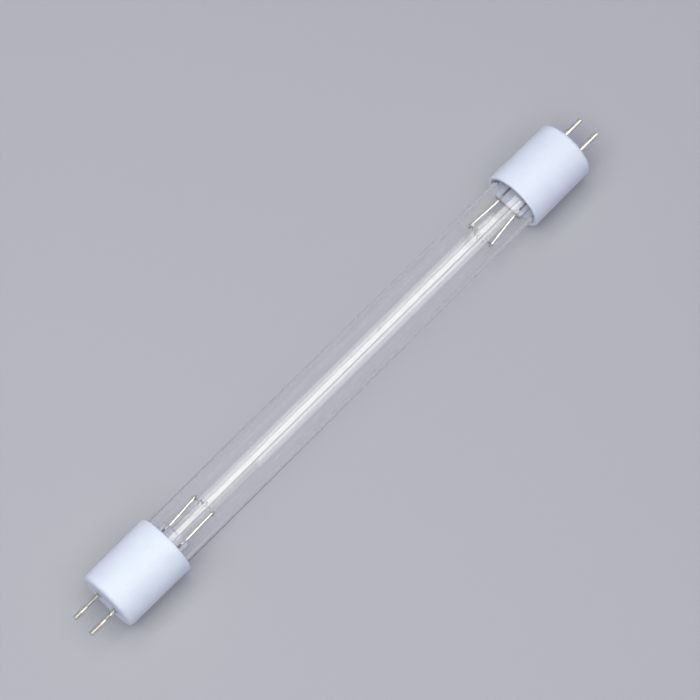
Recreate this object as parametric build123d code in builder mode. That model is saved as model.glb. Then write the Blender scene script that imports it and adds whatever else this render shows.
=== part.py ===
"""Clear germicidal lamp tube with a ceramic cap and two hollow pins at each end.

The lamp lies along X on its two caps, with Z up and the origin on the surface below its middle.
End a is at minus X and end b at plus X. A station is a distance from the lamp's middle, outwards
along either end, so that both ends are made from the same values. All sizes are in millimetres.
"""
from build123d import *
import os
from math import cos, pi, radians, sin

# Overall
face_to_face = 141.0        # outer face of one cap to the outer face of the other
seat_gap = 0.02             # between pieces that are fused, cemented or pressed together

# Glass tube
tube_diameter = 12.0
tube_wall = 1.0
tube_end_setback = 2.5      # tube end to the floor of the cap's bore
tube_lip_radius = 0.4       # melted edge of the tube end

# Ceramic cap
cap_length = 17.5
cap_wall = 0.8              # at the mouth
cap_draft = 0.15            # radius lost between the mouth and the outer face
cap_land = 1.5              # straight band at the mouth, before the draft begins
cap_end_wall = 2.0
cap_end_edge = 1.0          # rounding of the outer face
cap_mouth_edge = 0.35       # rounding of the mouth
cap_bore_edge = 0.5         # rounding at the floor of the bore
pin_recess_diameter = 1.9
pin_recess_depth = 0.3

# Cement ring between tube and cap
cement_thickness = 0.4
cement_setback = 1.2        # mouth of the cap to the start of the cement
cement_length = 7.5

# Hollow pins
pin_pitch = 4.75
pin_diameter = 1.15
pin_bore = 0.75
pin_reach = 7.0             # cap face to pin tip
pin_tip_edge = 0.12
pin_head_diameter = 1.8
pin_head_thickness = 0.4
crimp_depth = 0.17          # how far each side is pressed in
crimp_bulge = 0.1           # how far the metal spreads above and below
crimp_slope = 0.35          # length of the ramp at each end of the crimp
crimp_a1_start, crimp_a1_length = 1.5, 2.1
crimp_a2_start, crimp_a2_length = 1.4, 1.4
crimp_b1_start, crimp_b1_length = 0.3, 1.0
crimp_b2_start, crimp_b2_length = 0.2, 1.5

# Glass stem: flare, tube, flat press and sealed exhaust tube
stem_wall = 0.8
stem_lead_clearance = 0.275  # outer lead to the stem's bore
flare_length = 4.0
flare_rim_thickness = 1.0
flare_rim_inset = 0.3       # rim's edge inside the tube's outer diameter
flare_throat_gap = 0.3      # flare to the tube's bore
press_thickness = 2.6
press_length = 5.0
press_edge = 0.5
press_shoulder = 2.0        # length over which the round stem turns flat
press_reach_a = 20.75       # cap face to the top of the press
press_reach_b = 19.7
slot_thickness = 1.1        # flattened end of the stem's bore
exhaust_diameter = 2.2
exhaust_wall = 0.4
exhaust_tip_gap = 0.5       # tip to the floor of the cap's bore
exhaust_port_diameter = 0.9

# Lead wires
inner_lead_diameter = 0.6
inner_lead_depth = 1.2      # how far it stands in the press
outer_lead_diameter = 0.5
lead_knee = 0.5             # press top to the bend
lead_bend_radius = 2.0
splay_a1, splay_a2 = 0.53, -0.14
splay_b1, splay_b2 = 0.38, 0.82
hook_clearance = 0.03       # coil's tail to the inside of the fold that holds it
hook_return_length = 0.7

# Coated filament coil
filament_height_a = 7.9     # press top to the coil's ends
filament_height_b = 8.3
coil_diameter = 1.3
coil_wire = 0.34            # with its coating
tail_overhang = 0.35        # tail beyond its lead
coil_turns = 4
coil_lead_gap = 0.5         # lead to the first turn
coil_arch = 0.8             # rise of the coil's middle towards the lamp's middle
points_per_turn = 10

# Mercury droplets that cling to the bore around the coil at end b. Each has its place as a share
# of the row's length, degrees round from the top towards plus Y, and its size as a share
droplet_row = 12.0          # from the press top towards the lamp's middle
droplet_diameter = 0.34     # of the largest
droplets = (
    (0.10, 68, 0.9),
    (0.38, 20, 0.6),
    (0.40, 67, 0.8),
    (0.60, 50, 0.9),
    (0.72, 46, 0.7),
    (0.92, 48, 0.8),
    (1.00, 38, 1.0),
    (0.68, -62, 0.8),
    (0.84, -37, 0.7),
    (0.97, -36, 0.8),
)

# Worked out from the values above
half_length = face_to_face / 2
tube_radius = tube_diameter / 2
bore_radius = tube_radius - tube_wall
cap_bore_radius = tube_radius + cement_thickness
cap_radius = cap_bore_radius + cap_wall
axis_height = cap_radius
mouth_station = half_length - cap_length
floor_station = half_length - cap_end_wall
tube_end_station = floor_station - tube_end_setback
stem_bore_radius = (pin_pitch + outer_lead_diameter) / 2 + stem_lead_clearance
stem_radius = stem_bore_radius + stem_wall
hook_radius = (inner_lead_diameter + coil_wire) / 2 + hook_clearance
flare_station = tube_end_station - flare_length
lamp_axis = Axis((0, 0, axis_height), (1, 0, 0))

os.makedirs("parts", exist_ok=True)


def section(side, across=0.0):
    """Plane through the lamp's axis: local x runs outwards along the end, local y upwards."""
    return Plane(origin=(0, across, axis_height), x_dir=(side, 0, 0), z_dir=(0, -side, 0))


def station(side, distance):
    """Plane across the lamp: local x is the lamp's Y and local z points outwards."""
    return Plane(origin=(side * distance, 0, axis_height), x_dir=(0, 1, 0), z_dir=(side, 0, 0))


def save(part, name):
    """Label a finished piece and write its file."""
    part.label = name
    export_step(part, f"parts/{name}.step")


def make_glass_tube():
    """The envelope, with its two ends melted round where the flares are sealed on."""
    with BuildPart() as glass_tube:
        with BuildSketch(section(1)) as wall:
            with Locations((0, tube_radius - tube_wall / 2)):
                Rectangle(2 * tube_end_station, tube_wall)
            fillet(wall.vertices().group_by(Axis.Y)[-1], radius=tube_lip_radius)
        revolve(axis=lamp_axis)
    save(glass_tube.part, "glass_tube")


def make_cap(side, name):
    """A drafted ceramic cup: bore for the tube, end wall, and two recessed pin holes."""
    with BuildPart() as cap:
        with BuildSketch(section(side)) as profile:
            with BuildLine():
                Polyline(
                    (mouth_station, cap_bore_radius),
                    (mouth_station, cap_radius),
                    (mouth_station + cap_land, cap_radius),
                    (half_length, cap_radius - cap_draft),
                    (half_length, 0),
                    (floor_station, 0),
                    (floor_station, cap_bore_radius),
                    close=True,
                )
            make_face()
            fillet(profile.vertices().group_by(Axis.X)[0], cap_mouth_edge)
            fillet(profile.vertices().sort_by_distance((half_length, cap_radius))[0], cap_end_edge)
            fillet(profile.vertices().sort_by_distance((floor_station, cap_bore_radius))[0], cap_bore_edge)
        revolve(axis=lamp_axis)
        with BuildSketch(station(side, floor_station)):
            with GridLocations(pin_pitch, 0, 2, 1):
                Circle(pin_diameter / 2 + seat_gap)
        extrude(amount=cap_end_wall, mode=Mode.SUBTRACT)
        with BuildSketch(station(side, half_length)):
            with GridLocations(pin_pitch, 0, 2, 1):
                Circle(pin_recess_diameter / 2)
        extrude(amount=-pin_recess_depth, mode=Mode.SUBTRACT)
    save(cap.part, name)


def make_cement(side, name):
    """The ring of cement between the tube and the bore of the cap."""
    with BuildPart() as cement:
        with BuildSketch(station(side, mouth_station + cement_setback)):
            Circle(cap_bore_radius - seat_gap)
            Circle(tube_radius + seat_gap, mode=Mode.SUBTRACT)
        extrude(amount=cement_length)
    save(cement.part, name)


def make_pin(side, across, crimp_start, crimp_length, name):
    """A hollow pin, headed inside the cap, squeezed to an oval where it grips the lead."""
    pin_radius = pin_diameter / 2
    tip = half_length + pin_reach
    near = half_length + crimp_start
    far = near + crimp_length
    grip = outer_lead_diameter / 2 + seat_gap
    pin_axis = Axis((0, across, axis_height), (1, 0, 0))
    with BuildPart() as pin:
        with BuildSketch(section(side, across)) as profile:
            with BuildLine():
                Polyline(
                    (floor_station - pin_head_thickness, 0),
                    (floor_station - pin_head_thickness, pin_head_diameter / 2),
                    (floor_station, pin_head_diameter / 2),
                    (floor_station, pin_radius),
                    (near, pin_radius),
                    (near, 0),
                    close=True,
                )
            make_face()
        with BuildSketch(section(side, across)) as free_end:
            with BuildLine():
                Polyline((far, 0), (far, pin_radius), (tip, pin_radius), (tip, 0), close=True)
            make_face()
            fillet(free_end.vertices().group_by(Axis.X)[-1].sort_by(Axis.Y)[-1], pin_tip_edge)
        revolve(axis=pin_axis)
        # The squeeze, round at both ends and oval between
        for distance in (near, near + crimp_slope, far - crimp_slope, far):
            with BuildSketch(station(side, distance)):
                with Locations((across, 0)):
                    if distance in (near, far):
                        Circle(pin_radius)
                    else:
                        Ellipse(pin_radius - crimp_depth, pin_radius + crimp_bulge)
        loft(ruled=True)
        # The bore, narrowed onto the lead
        with BuildSketch(section(side, across)):
            with BuildLine():
                Polyline(
                    (floor_station - pin_head_thickness, 0),
                    (floor_station - pin_head_thickness, pin_bore / 2),
                    (near, pin_bore / 2),
                    (near + crimp_slope, grip),
                    (far - crimp_slope, grip),
                    (far, pin_bore / 2),
                    (tip, pin_bore / 2),
                    (tip, 0),
                    close=True,
                )
            make_face()
        revolve(axis=pin_axis, mode=Mode.SUBTRACT)
    save(pin.part, name)


def make_stem(side, press_reach, name):
    """The glass mount: a flare sealed to the tube end, a stem pressed flat round the leads,
    and the exhaust tube, which opens through a port beside the press and is sealed at its tip."""
    press_top = half_length - press_reach
    press_base = press_top + press_length
    shoulder = press_base + press_shoulder
    rim_radius = tube_radius - flare_rim_inset
    tip = floor_station - exhaust_tip_gap
    exhaust_radius = exhaust_diameter / 2
    with BuildPart() as stem:
        # Flare and round stem
        with BuildSketch(section(side)):
            with BuildLine():
                Line((shoulder, stem_radius), (flare_station, stem_radius))
                TangentArc(
                    (flare_station, stem_radius),
                    (tube_end_station, bore_radius - flare_throat_gap),
                    tangent=(1, 0),
                )
                Polyline(
                    (tube_end_station, bore_radius - flare_throat_gap),
                    (tube_end_station, rim_radius),
                    (tube_end_station + flare_rim_thickness, rim_radius),
                    (tube_end_station + flare_rim_thickness, rim_radius - 2 * flare_rim_inset - tube_wall),
                )
                TangentArc(
                    (flare_station, stem_bore_radius),
                    (tube_end_station + flare_rim_thickness, rim_radius - 2 * flare_rim_inset - tube_wall),
                    tangent=(1, 0),
                )
                Polyline(
                    (flare_station, stem_bore_radius),
                    (shoulder, stem_bore_radius),
                    (shoulder, stem_radius),
                )
            make_face()
        revolve(axis=lamp_axis)
        # Shoulder where the round stem turns flat, then the press
        with BuildSketch(station(side, shoulder)):
            Circle(stem_radius)
        with BuildSketch(station(side, press_base)):
            RectangleRounded(2 * stem_radius, press_thickness, press_edge)
        loft()
        with BuildSketch(station(side, press_top)):
            RectangleRounded(2 * stem_radius, press_thickness, press_edge)
        extrude(amount=press_length)
        # Flattened end of the stem's bore
        with BuildSketch(station(side, shoulder)):
            Circle(stem_bore_radius)
        with BuildSketch(station(side, press_base)):
            SlotOverall(2 * stem_bore_radius, slot_thickness)
        loft(mode=Mode.SUBTRACT)
        # Exhaust tube with its sealed tip
        with BuildSketch(section(side)):
            with BuildLine():
                Polyline(
                    (press_base, 0),
                    (press_base, exhaust_radius),
                    (tip - exhaust_radius, exhaust_radius),
                )
                TangentArc((tip - exhaust_radius, exhaust_radius), (tip, 0), tangent=(1, 0))
                Line((tip, 0), (press_base, 0))
            make_face()
        revolve(axis=lamp_axis)
        with BuildSketch(station(side, press_base)):
            Circle(exhaust_radius - exhaust_wall)
        extrude(amount=tip - exhaust_radius - press_base, mode=Mode.SUBTRACT)
        # Port from the exhaust tube into the lamp, on the upper side
        port_plane = Plane(origin=(side * (press_base + press_shoulder / 2), 0, axis_height))
        with BuildSketch(port_plane):
            Circle(exhaust_port_diameter / 2)
        extrude(amount=stem_radius, mode=Mode.SUBTRACT)
        # Holes that the leads are sealed into
        with BuildSketch(station(side, press_top)):
            with GridLocations(pin_pitch, 0, 2, 1):
                Circle(inner_lead_diameter / 2 + seat_gap)
        extrude(amount=inner_lead_depth, mode=Mode.SUBTRACT)
        with BuildSketch(station(side, press_top)):
            with GridLocations(pin_pitch, 0, 2, 1):
                Circle(outer_lead_diameter / 2 + seat_gap)
        extrude(amount=press_length, mode=Mode.SUBTRACT)
    save(stem.part, name)


def make_outer_lead(side, across, press_reach, crimp_end, name):
    """The seal wire: through the press and the stem, and on into the crimp of its pin."""
    start = half_length - press_reach + inner_lead_depth
    with BuildPart() as outer_lead:
        with BuildSketch(station(side, start)):
            with Locations((across, 0)):
                Circle(outer_lead_diameter / 2)
        extrude(amount=half_length + crimp_end - start)
    save(outer_lead.part, name)


def make_inner_lead(side, across, press_reach, height, splay, name):
    """A stiff wire from the press to the coil, folded over at its end to hold the coil's tail."""
    hand = 1 if across > 0 else -1
    press_top = half_length - press_reach
    hook = press_top - height
    end_across = across + hand * splay
    foot = (side * (press_top + inner_lead_depth), across, axis_height)
    knee = (side * (press_top - lead_knee), across, axis_height)
    end = (side * hook, end_across, axis_height)
    with BuildPart() as inner_lead:
        with BuildLine() as route:
            FilletPolyline(foot, knee, end, radius=lead_bend_radius)
            arrive = Vector(*end) - Vector(*knee)
            back = arrive.normalized() * -1
            below = Vector(*end) + Vector(0, 0, -2 * hook_radius)
            TangentArc(end, below, tangent=arrive)
            Line(below, below + back * hook_return_length)
        with BuildSketch(station(side, press_top + inner_lead_depth)):
            with Locations((across, 0)):
                Circle(inner_lead_diameter / 2)
        sweep(path=route.wires()[0])
    save(inner_lead.part, name)


def coil_point(side, ends_station, middle, length, turn):
    """A point on the coil's wire, whose centre line is arched towards the lamp's middle."""
    radius = (coil_diameter - coil_wire) / 2
    along = (turn / coil_turns - 0.5) * length
    rise = coil_arch * cos(pi * along / length) ** 2
    slope = -coil_arch * pi / length * sin(2 * pi * along / length)
    inwards = radius * cos(2 * pi * turn) / (1 + slope ** 2) ** 0.5
    return (
        side * (ends_station - rise - inwards),
        middle + along - inwards * slope,
        axis_height - hook_radius + radius * sin(2 * pi * turn),
    )


def make_filament(side, press_reach, height, splay_1, splay_2, name):
    """The coated coil, with straight tails that pass through the folds of its two leads."""
    ends_station = half_length - press_reach - height
    middle = (splay_1 - splay_2) / 2
    half_span = (pin_pitch + splay_1 + splay_2) / 2
    tail_inner = half_span - inner_lead_diameter / 2
    tail_outer = half_span + inner_lead_diameter / 2 + tail_overhang
    length = 2 * (tail_inner - coil_lead_gap)
    turns = [
        coil_point(side, ends_station, middle, length, step / points_per_turn)
        for step in range(1, coil_turns * points_per_turn)
    ]
    x = side * ends_station
    z = axis_height - hook_radius
    with BuildPart() as filament:
        with BuildLine() as wire:
            Line((x, middle - tail_outer, z), (x, middle - tail_inner, z))
            Spline(
                (x, middle - tail_inner, z),
                *turns,
                (x, middle + tail_inner, z),
                tangents=((0, 1, 0), (0, 1, 0)),
                tangent_scalars=(1, 1),
            )
            Line((x, middle + tail_inner, z), (x, middle + tail_outer, z))
        with BuildSketch(Plane(origin=(x, middle - tail_outer, z), z_dir=(0, 1, 0))):
            Circle(coil_wire / 2)
        sweep(path=wire.wires()[0], is_frenet=True)
    save(filament.part, name)


def make_droplets():
    """Beads of mercury that cling to the bore around the coil at end b."""
    press_top = half_length - press_reach_b
    with BuildPart() as mercury_droplets:
        for share, degrees, size in droplets:
            radius = size * droplet_diameter / 2
            offset = bore_radius - radius - seat_gap
            x = press_top - share * droplet_row
            angle = radians(degrees)
            with Locations((x, offset * sin(angle), axis_height + offset * cos(angle))):
                Sphere(radius)
    save(mercury_droplets.part, "mercury_droplets")


make_glass_tube()
ends = (
    (-1, "a", press_reach_a, filament_height_a, (splay_a1, splay_a2),
     ((crimp_a1_start, crimp_a1_length), (crimp_a2_start, crimp_a2_length))),
    (1, "b", press_reach_b, filament_height_b, (splay_b1, splay_b2),
     ((crimp_b1_start, crimp_b1_length), (crimp_b2_start, crimp_b2_length))),
)
for side, letter, press_reach, height, splays, crimps in ends:
    make_cap(side, f"cap_{letter}")
    make_cement(side, f"cement_{letter}")
    make_stem(side, press_reach, f"stem_{letter}")
    make_filament(side, press_reach, height, splays[0], splays[1], f"filament_{letter}")
    for number, hand in ((1, 1), (2, -1)):
        across = hand * pin_pitch / 2
        crimp_start, crimp_length = crimps[number - 1]
        make_pin(side, across, crimp_start, crimp_length, f"pin_{letter}{number}")
        make_outer_lead(side, across, press_reach, crimp_start + crimp_length, f"outer_lead_{letter}{number}")
        make_inner_lead(side, across, press_reach, height, splays[number - 1], f"inner_lead_{letter}{number}")
make_droplets()
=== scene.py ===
"""Looks of a clear germicidal lamp tube with white ceramic caps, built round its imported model.

The lamp lies along X. End a is at minus X and end b at plus X. Sizes in the classes are in
millimetres, and MM turns them to metres where a mesh is made.
"""

import logging
import math
import random
from dataclasses import dataclass
from enum import Enum
from typing import Callable, NamedTuple

import bmesh
import bpy
from bmesh.types import BMEdge, BMesh, BMFace, BMVert
from bpy.types import Material, Node, NodeSocket, NodeTree
from mathutils import Matrix, Vector, noise


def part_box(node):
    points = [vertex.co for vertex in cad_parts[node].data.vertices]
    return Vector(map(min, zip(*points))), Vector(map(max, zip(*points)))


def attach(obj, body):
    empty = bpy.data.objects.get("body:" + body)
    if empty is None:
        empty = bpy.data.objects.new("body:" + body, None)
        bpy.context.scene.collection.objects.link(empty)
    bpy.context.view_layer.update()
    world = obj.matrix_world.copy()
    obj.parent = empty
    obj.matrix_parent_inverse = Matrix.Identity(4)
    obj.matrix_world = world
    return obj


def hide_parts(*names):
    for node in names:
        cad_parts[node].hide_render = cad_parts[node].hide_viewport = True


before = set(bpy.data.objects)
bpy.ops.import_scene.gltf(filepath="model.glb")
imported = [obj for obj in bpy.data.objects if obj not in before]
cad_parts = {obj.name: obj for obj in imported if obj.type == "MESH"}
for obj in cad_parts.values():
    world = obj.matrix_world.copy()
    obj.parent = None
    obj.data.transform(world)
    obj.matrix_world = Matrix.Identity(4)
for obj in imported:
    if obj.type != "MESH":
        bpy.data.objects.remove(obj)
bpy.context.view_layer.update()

LOG = logging.getLogger("lamp")
MM = 0.001
FULL_TURN = 2 * math.pi

# Most values of a random pattern lie between these two
PATTERN_RANGE = {"From Min": 0.35, "From Max": 0.65}


class End(Enum):
    """The two ends of the lamp, each with the direction in which it points along X."""

    A = -1
    B = 1

    @property
    def letter(self) -> str:
        """Letter that the names of this end's pieces carry."""
        return self.name.lower()


class Hand(Enum):
    """The two pins and leads of an end, each with its side along Y."""

    FIRST = 1
    SECOND = -1

    @property
    def number(self) -> int:
        """Number that the names of this side's pieces carry."""
        return 1 if self is Hand.FIRST else 2


# Finishes


def linear(code: str) -> tuple[float, float, float, float]:
    """Turn an sRGB hex code to a linear colour.

    Args:
        code: colour as "#RRGGBB".

    Returns:
        Linear red, green, blue and an alpha of 1.
    """
    parts = [int(code[i : i + 2], 16) / 255 for i in (1, 3, 5)]
    return (*(p / 12.92 if p <= 0.04045 else ((p + 0.055) / 1.055) ** 2.4 for p in parts), 1.0)


def add_node(
    tree: NodeTree,
    kind: str,
    inputs: dict[str | int, object] | None = None,
    **settings: object,
) -> Node:
    """Add a shader node with its settings and links.

    Args:
        tree: node tree that gets the node.
        kind: Blender's name for the node.
        inputs: values or output sockets, by the name or number of the input that they go to.
        settings: attributes of the node itself.

    Returns:
        The new node.
    """
    node = tree.nodes.new(kind)
    for name, value in settings.items():
        setattr(node, name, value)
    for name, value in (inputs or {}).items():
        if isinstance(value, NodeSocket):
            tree.links.new(value, node.inputs[name])
        else:
            node.inputs[name].default_value = value
    return node


def start_material(name: str) -> tuple[Material, NodeTree, NodeSocket]:
    """Begin a node material.

    Args:
        name: name of the finish.

    Returns:
        The material, its empty node tree and its Object coordinates.
    """
    material = bpy.data.materials.new(name)
    material.use_nodes = True
    tree = material.node_tree
    tree.nodes.clear()
    place = add_node(tree, "ShaderNodeTexCoord").outputs["Object"]
    return material, tree, place


def finish_material(material: Material, surface: NodeSocket) -> Material:
    """Send a shader to the material's output.

    Args:
        material: material under way.
        surface: shader to show.

    Returns:
        The material.
    """
    add_node(material.node_tree, "ShaderNodeOutputMaterial", {"Surface": surface})
    return material


@dataclass(frozen=True)
class Grain:
    """A random pattern, with the size of one patch in millimetres, its stretch along the lamp, and
    how many finer layers lie within it."""

    size: float
    stretch: float = 1.0
    detail: float = 2.0

    def pattern(self, tree: NodeTree, place: NodeSocket) -> NodeSocket:
        """Add the pattern to a finish.

        Args:
            tree: node tree of the finish.
            place: coordinates to read.

        Returns:
            The pattern's factor.
        """
        scale = (1 / self.stretch, 1.0, 1.0)
        mapping = add_node(tree, "ShaderNodeMapping", {"Vector": place, "Scale": scale})
        texture = add_node(
            tree,
            "ShaderNodeTexNoise",
            {"Vector": mapping.outputs["Vector"], "Scale": 1 / (self.size * MM), "Detail": self.detail},
        )
        return texture.outputs["Fac"]


@dataclass(frozen=True)
class ClearGlass:
    """Glass drawn or pressed hot. Its waves are far too low to see but bend the lamp's long highlight,
    so that it breaks into fine lines. Light for a surface behind it goes straight on. Light that is
    caught in its wall leaves it a little dimmed, which draws the tube's edges. A press that is full
    of fine seeds is a little milky."""

    name: str
    colour: str
    ior: float
    roughness: float
    waves: Grain
    wave_height: float
    passed: str
    clearness: float = 1.0
    dimmed: str = "#DCE0E2"
    bounces: int = 2
    haze: Grain = Grain(7.0, detail=3.0)
    haze_rise: float = 3.0

    def make(self) -> Material:
        """Build the material.

        Returns:
            The material.
        """
        material, tree, place = start_material(self.name)
        waves = self.waves.pattern(tree, place)
        bump = add_node(tree, "ShaderNodeBump", {"Height": waves, "Distance": self.wave_height * MM})
        haze = self.haze.pattern(tree, place)
        rough = add_node(
            tree,
            "ShaderNodeMapRange",
            {
                "Value": haze,
                "From Min": 0.5,
                "From Max": 0.75,
                "To Min": self.roughness,
                "To Max": self.roughness * self.haze_rise,
            },
        )
        glass = add_node(
            tree,
            "ShaderNodeBsdfPrincipled",
            {
                "Base Color": linear(self.colour),
                "Roughness": rough.outputs["Result"],
                "IOR": self.ior,
                "Transmission Weight": self.clearness,
                "Normal": bump.outputs["Normal"],
            },
        )
        ray = add_node(tree, "ShaderNodeLightPath").outputs
        straight = add_node(
            tree, "ShaderNodeMath", {0: ray["Is Shadow Ray"], 1: ray["Is Diffuse Ray"]}, operation="MAXIMUM"
        )
        trapped = add_node(
            tree, "ShaderNodeMath", {0: ray["Glossy Depth"], 1: self.bounces + 0.5}, operation="GREATER_THAN"
        )
        tint = add_node(
            tree,
            "ShaderNodeMix",
            {0: trapped.outputs[0], 6: linear(self.passed), 7: linear(self.dimmed)},
            data_type="RGBA",
        )
        clear = add_node(tree, "ShaderNodeBsdfTransparent", {"Color": tint.outputs[2]})
        passing = add_node(
            tree, "ShaderNodeMath", {0: straight.outputs[0], 1: trapped.outputs[0]}, operation="MAXIMUM"
        )
        mix = add_node(
            tree, "ShaderNodeMixShader", {0: passing.outputs[0], 1: glass.outputs[0], 2: clear.outputs[0]}
        )
        return finish_material(material, mix.outputs[0])


@dataclass(frozen=True)
class UnglazedCeramic:
    """Steatite pressed dry and fired without a glaze: a close, chalky white with a faint blue cast,
    a fine sandy grain, and a soft sheen where the die was smooth."""

    name: str = "unglazed steatite"
    light: str = "#E8F2F2"
    shade: str = "#E3EDEF"
    fleck: str = "#CCD6E0"
    fleck_strength: float = 0.3
    mottle: Grain = Grain(4.0, detail=4.0)
    spots: Grain = Grain(0.56, detail=0.0)
    sand: Grain = Grain(0.35, detail=3.0)
    pit_depth: float = 0.012

    def make(self) -> Material:
        """Build the material.

        Returns:
            The material.
        """
        material, tree, place = start_material(self.name)
        mottle = self.mottle.pattern(tree, place)
        spots = self.spots.pattern(tree, place)
        sand = self.sand.pattern(tree, place)
        bump = add_node(tree, "ShaderNodeBump", {"Height": sand, "Distance": self.pit_depth * MM})
        pale = add_node(tree, "ShaderNodeMapRange", {"Value": mottle, "From Min": 0.3, "From Max": 0.6})
        body = add_node(
            tree,
            "ShaderNodeMix",
            {0: pale.outputs["Result"], 6: linear(self.shade), 7: linear(self.light)},
            data_type="RGBA",
        )
        dots = add_node(
            tree,
            "ShaderNodeMapRange",
            {"Value": spots, "From Min": 0.8, "From Max": 0.86, "To Max": self.fleck_strength},
        )
        colour = add_node(
            tree,
            "ShaderNodeMix",
            {0: dots.outputs["Result"], 6: body.outputs[2], 7: linear(self.fleck)},
            data_type="RGBA",
        )
        rough = add_node(
            tree,
            "ShaderNodeMapRange",
            {"Value": mottle, **PATTERN_RANGE, "To Min": 0.52, "To Max": 0.68},
        )
        shader = add_node(
            tree,
            "ShaderNodeBsdfPrincipled",
            {
                "Base Color": colour.outputs[2],
                "Roughness": rough.outputs["Result"],
                "IOR": 1.55,
                "Normal": bump.outputs["Normal"],
            },
        )
        return finish_material(material, shader.outputs[0])


@dataclass(frozen=True)
class PlatedMetal:
    """Drawn metal under a thin plate: long hairlines from the die along its length, brighter where
    it was rubbed, and a warmer tone where the plate is thin."""

    name: str
    bright: str
    dull: str
    roughness: float
    lines: Grain = Grain(0.08, 40.0)
    line_height: float = 0.004
    wear: Grain = Grain(1.1, detail=4.0)

    def make(self) -> Material:
        """Build the material.

        Returns:
            The material.
        """
        material, tree, place = start_material(self.name)
        lines = self.lines.pattern(tree, place)
        low, high = self.roughness * 0.8, self.roughness * 1.5
        bump = add_node(tree, "ShaderNodeBump", {"Height": lines, "Distance": self.line_height * MM})
        wear = self.wear.pattern(tree, place)
        worn = add_node(tree, "ShaderNodeMapRange", {"Value": wear, **PATTERN_RANGE})
        colour = add_node(
            tree,
            "ShaderNodeMix",
            {0: worn.outputs["Result"], 6: linear(self.dull), 7: linear(self.bright)},
            data_type="RGBA",
        )
        rough = add_node(
            tree,
            "ShaderNodeMapRange",
            {"Value": lines, **PATTERN_RANGE, "To Min": low, "To Max": high},
        )
        shader = add_node(
            tree,
            "ShaderNodeBsdfPrincipled",
            {
                "Base Color": colour.outputs[2],
                "Metallic": 1.0,
                "Roughness": rough.outputs["Result"],
                "Normal": bump.outputs["Normal"],
            },
        )
        return finish_material(material, shader.outputs[0])


@dataclass(frozen=True)
class Powder:
    """A dry, crumbly coat such as baked emitter or lamp cement: dead matt, uneven in tone, and rough
    enough at its edge to look grainy."""

    name: str
    light: str
    shade: str
    crumbs: Grain
    depth: float

    def make(self) -> Material:
        """Build the material.

        Returns:
            The material.
        """
        material, tree, place = start_material(self.name)
        crumbs = self.crumbs.pattern(tree, place)
        bump = add_node(tree, "ShaderNodeBump", {"Height": crumbs, "Distance": self.depth * MM})
        high = add_node(tree, "ShaderNodeMapRange", {"Value": crumbs, **PATTERN_RANGE})
        colour = add_node(
            tree,
            "ShaderNodeMix",
            {0: high.outputs["Result"], 6: linear(self.shade), 7: linear(self.light)},
            data_type="RGBA",
        )
        rough = add_node(
            tree, "ShaderNodeMapRange", {"Value": high.outputs["Result"], "To Min": 0.85, "To Max": 1.0}
        )
        shader = add_node(
            tree,
            "ShaderNodeBsdfPrincipled",
            {
                "Base Color": colour.outputs[2],
                "Roughness": rough.outputs["Result"],
                "IOR": 1.5,
                "Normal": bump.outputs["Normal"],
            },
        )
        return finish_material(material, shader.outputs[0])


TUBE_GLASS = ClearGlass(
    name="drawn fused quartz",
    colour="#FFFFFF",
    ior=1.46,
    roughness=0.01,
    waves=Grain(0.5, 400.0, 1.0),
    wave_height=0.0012,
    passed="#FDFDFE",
)
STEM_GLASS = ClearGlass(
    name="pressed stem glass",
    colour="#FBFCFF",
    ior=1.5,
    roughness=0.02,
    waves=Grain(1.6, detail=1.0),
    wave_height=0.03,
    passed="#FAFCFC",
    clearness=0.82,
)
CERAMIC = UnglazedCeramic()
PIN_PLATE = PlatedMetal("nickel plated brass tube", "#E0DFDB", "#C9C5BA", 0.32, line_height=0.0008)
LEAD_WIRE = PlatedMetal("bright nickel wire", "#E4E3E0", "#C4C2BD", 0.24, Grain(0.05, 40.0), 0.0006)
SEAL_WIRE = PlatedMetal("oxidised seal wire", "#5A5552", "#35312F", 0.45, Grain(0.05, 40.0), 0.001)
TUNGSTEN = PlatedMetal("bare tungsten", "#9C9A98", "#6E6C6C", 0.3, Grain(0.04, 40.0))
MERCURY = PlatedMetal("mercury", "#EEF0F2", "#E2E5E8", 0.03, Grain(0.3), 0.0)
EMITTER = Powder("baked emitter coating", "#E6E4DF", "#7C7B7B", Grain(0.16, detail=3.0), 0.02)
CEMENT = Powder("lamp cement", "#F0F1F2", "#DCDDDF", Grain(0.25, detail=3.0), 0.04)
LINT = Powder("lint and dust", "#FAFAFA", "#E8E8EA", Grain(0.1, detail=3.0), 0.01)


# Mesh helpers


def shares(count: int) -> list[float]:
    """Give the ends of equal steps from 0 to 1."""
    return [number / count for number in range(1, count + 1)]


def ease(share: float) -> float:
    """Let a share from 0 to 1 start and stop gently."""
    return share * share * (3 - 2 * share)


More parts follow.
